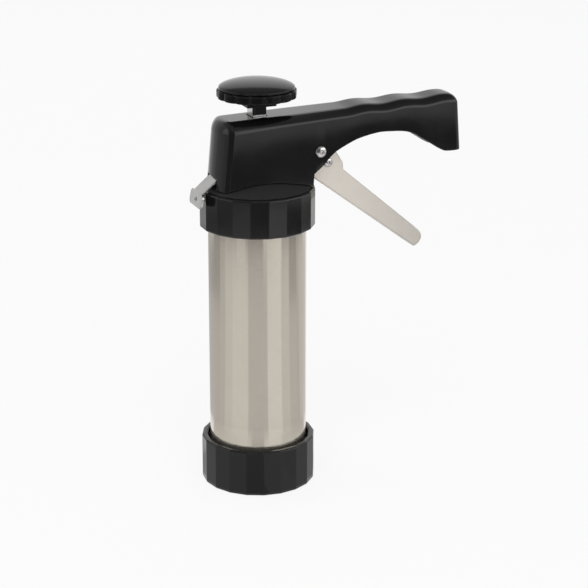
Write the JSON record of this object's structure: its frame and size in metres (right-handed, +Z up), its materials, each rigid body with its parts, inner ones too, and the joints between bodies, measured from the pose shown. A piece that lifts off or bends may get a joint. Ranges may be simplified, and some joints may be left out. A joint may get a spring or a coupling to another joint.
{
  "type": "cookie press",
  "caption": "Hand-squeezed cookie press: a steel barrel between black screw rings, a pistol-grip head with squeeze lever, push rod, knob and release tab.",
  "frame": {"origin": "on the floor, under the middle of the bounding box; the barrel's axis is at x = -0.0396 m, y = 0", "axes": "+Z up along the barrel towards the knob, +X along the handle and the lever, -X at the release tab"},
  "size_m": [0.1484, 0.0608, 0.22],
  "materials": {
    "bottom_ring": "black gloss, moulded",
    "cookie_disc": "satin stamped sheet",
    "barrel_tube": "satin brushed stainless steel",
    "collar_nut": "black gloss, moulded",
    "head_shell": "black gloss, moulded",
    "base_plate": "satin brushed stainless steel",
    "base_screw_1": "bright nickel-plated steel",
    "base_screw_2": "bright nickel-plated steel",
    "base_screw_3": "bright nickel-plated steel",
    "spring_seat": "satin brushed stainless steel",
    "push_rod": "bright nickel-plated steel",
    "piston": "black gloss, moulded",
    "piston_nut": "bright nickel-plated steel",
    "knob": "black gloss, moulded",
    "knob_cap": "black gloss, moulded",
    "knob_screw": "bright nickel-plated steel",
    "drive_plate": "satin brushed stainless steel",
    "drive_spring": "drawn spring steel wire",
    "release_plate": "bright nickel-plated steel",
    "catch_spring": "drawn spring steel wire",
    "lever": "satin brushed stainless steel",
    "pusher_arm": "satin brushed stainless steel",
    "lever_pin": "bright nickel-plated steel",
    "pin_clip": "drawn spring steel wire",
    "lever_rivet": "bright nickel-plated steel"
  },
  "bodies": {
    "ring_base": {"bottom_ring": "bottom_ring", "cookie_disc": "cookie_disc"},
    "barrel": {"barrel_tube": "barrel_tube"},
    "head": {"head_shell": "head_shell", "base_plate": "base_plate", "base_screw_1": "base_screw_1", "base_screw_2": "base_screw_2", "base_screw_3": "base_screw_3", "spring_seat": "spring_seat", "lever_pin": "lever_pin", "pin_clip": "pin_clip", "drive_spring": "drive_spring", "catch_spring": "catch_spring"},
    "collar": {"collar_nut": "collar_nut"},
    "plunger": {"push_rod": "push_rod", "piston": "piston", "piston_nut": "piston_nut", "knob": "knob", "knob_cap": "knob_cap", "knob_screw": "knob_screw"},
    "drive": {"drive_plate": "drive_plate"},
    "lever_body": {"lever": "lever", "pusher_arm": "pusher_arm", "lever_rivet": "lever_rivet"},
    "release": {"release_plate": "release_plate"}
  },
  "joints": [
    {"name": "barrel_lift", "type": "slide", "parent": "ring_base", "child": "barrel", "axis": [0, 0, 1], "range_m": [0, 0.03]},
    {"name": "head_lift", "type": "slide", "parent": "barrel", "child": "head", "axis": [0, 0, 1], "range_m": [0, 0.165]},
    {"name": "collar_turn", "type": "hinge", "parent": "head", "child": "collar", "pos_m": [-0.03961, 0, 0.1632], "axis": [0, 0, 1], "continuous": true},
    {"name": "plunger_slide", "type": "slide", "parent": "head", "child": "plunger", "axis": [0, 0, 1], "range_m": [0, 0.138]},
    {"name": "drive_slide", "type": "slide", "parent": "head", "child": "drive", "axis": [0, 0, -1], "range_m": [0, 0.0073], "deforming": ["drive_spring"]},
    {"name": "lever_hinge", "type": "hinge", "parent": "head", "child": "lever_body", "pos_m": [-0.00941, 0, 0.1818], "axis": [0, -1, 0], "range_deg": [0, 32], "stiffness_Nm_per_rad": 0.5, "springref_deg": -17.19},
    {"name": "release_hinge", "type": "hinge", "parent": "head", "child": "release", "pos_m": [-0.03061, 0, 0.1699], "axis": [0, -1, 0], "range_deg": [0, 1], "stiffness_Nm_per_rad": 0.1, "springref_deg": -17.19}
  ],
  "couplings": [
    {"joint": "drive_slide", "follows": "lever_hinge", "m_per_rad": 0.01286}
  ]
}
